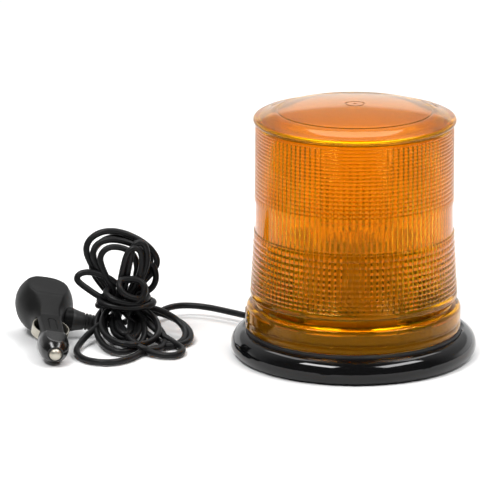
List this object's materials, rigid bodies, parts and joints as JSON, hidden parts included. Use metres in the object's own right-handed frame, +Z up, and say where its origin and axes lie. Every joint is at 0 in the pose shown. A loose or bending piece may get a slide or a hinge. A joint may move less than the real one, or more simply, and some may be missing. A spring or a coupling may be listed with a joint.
{
  "type": "magnetic-mount warning beacon",
  "caption": "Amber warning strobe beacon with a ribbed lens on a round magnetic base, with a tied supply cord and a 12 V accessory plug.",
  "frame": {"origin": "on the floor at the middle of the magnetic base's underside", "axes": "+Z up along the beacon's axis; the cord and plug lie towards -X"},
  "size_m": [0.3133, 0.1684, 0.1717],
  "materials": {
    "boot_rubber": "glossy moulded vinyl rubber",
    "ferrite": "sintered dark grey ferrite",
    "plated_steel": "zinc plated",
    "screw_steel": "zinc plated",
    "black_moulding": "fine moulded texture",
    "tower_plastic": "white moulding",
    "gasket_rubber": "matt rubber",
    "amber_lens": "clear amber polycarbonate",
    "circuit_green": "solder mask",
    "brass_spacer": "turned",
    "capacitor_sleeve": "shrink sleeve",
    "copper_winding": "enamelled wire",
    "coil_potting": "varnished",
    "transistor_epoxy": "moulded epoxy",
    "bare_aluminium": "mill finish",
    "bright_reflector": "vacuum metallised",
    "socket_ceramic": "glazed ceramic",
    "tube_glass": "clear quartz",
    "cover_glass": "clear",
    "cord_jacket": "satin vinyl jacket",
    "plug_plastic": "satin",
    "plug_cap_plastic": "smooth",
    "nickel_contact": "nickel plated",
    "fuse_glass": "clear with metal ends",
    "spring_steel": "plain",
    "relief_rubber": "satin"
  },
  "bodies": {
    "base": {"rubber_boot": "boot_rubber", "magnet_ring": "ferrite", "pole_plate": "plated_steel", "base_screws": "screw_steel", "base_housing": "black_moulding", "lens_gasket": "gasket_rubber", "circuit_board": "circuit_green", "board_standoffs": "brass_spacer", "board_screws": "screw_steel", "storage_capacitors": "capacitor_sleeve", "transformer_core": "ferrite", "transformer_winding": "copper_winding", "trigger_coil": "coil_potting", "power_transistor": "transistor_epoxy", "heat_sink": "bare_aluminium", "tube_tower": "tower_plastic", "reflector_dish": "bright_reflector", "tube_socket": "socket_ceramic", "flash_tube": "tube_glass", "tube_envelope": "cover_glass", "cable_grommet": "gasket_rubber", "cord_inner": "cord_jacket", "cord_lead": "cord_jacket", "cord_hank": "cord_jacket", "cord_floor_loop": "cord_jacket", "cord_tail": "cord_jacket", "plug_shell_upper": "plug_plastic", "plug_shell_lower": "plug_plastic", "plug_screws": "screw_steel", "tip_spring": "spring_steel", "spring_seat": "nickel_contact", "plug_strain_relief": "relief_rubber", "plug_cord_inner": "cord_jacket"},
    "lens_unit": {"lens": "amber_lens", "lens_lock_screw": "screw_steel"},
    "nose_cap": {"plug_nose_cap": "plug_cap_plastic"},
    "tip_unit": {"plug_tip": "nickel_contact", "plug_fuse": "fuse_glass"},
    "contact_left": {"side_contact_left": "nickel_contact"},
    "contact_right": {"side_contact_right": "nickel_contact"}
  },
  "joints": [
    {"name": "lens_lift", "type": "slide", "parent": "base", "child": "lens_unit", "axis": [0, 0, 1], "range_m": [0, 0.19]},
    {"name": "nose_cap_off", "type": "slide", "parent": "base", "child": "nose_cap", "axis": [0.1329, -0.9826, -0.1299], "range_m": [0, 0.025]},
    {"name": "tip_press", "type": "slide", "parent": "base", "child": "tip_unit", "axis": [-0.1329, 0.9826, 0.1299], "range_m": [0, 0.0025], "stiffness_N_per_m": 800, "deforming": ["tip_spring"]},
    {"name": "contact_left_press", "type": "slide", "parent": "base", "child": "contact_left", "axis": [0.9695, 0.1561, -0.1892], "range_m": [0, 0.0015], "stiffness_N_per_m": 1500},
    {"name": "contact_right_press", "type": "slide", "parent": "base", "child": "contact_right", "axis": [-0.9695, -0.1561, 0.1892], "range_m": [0, 0.0015], "stiffness_N_per_m": 1500}
  ]
}
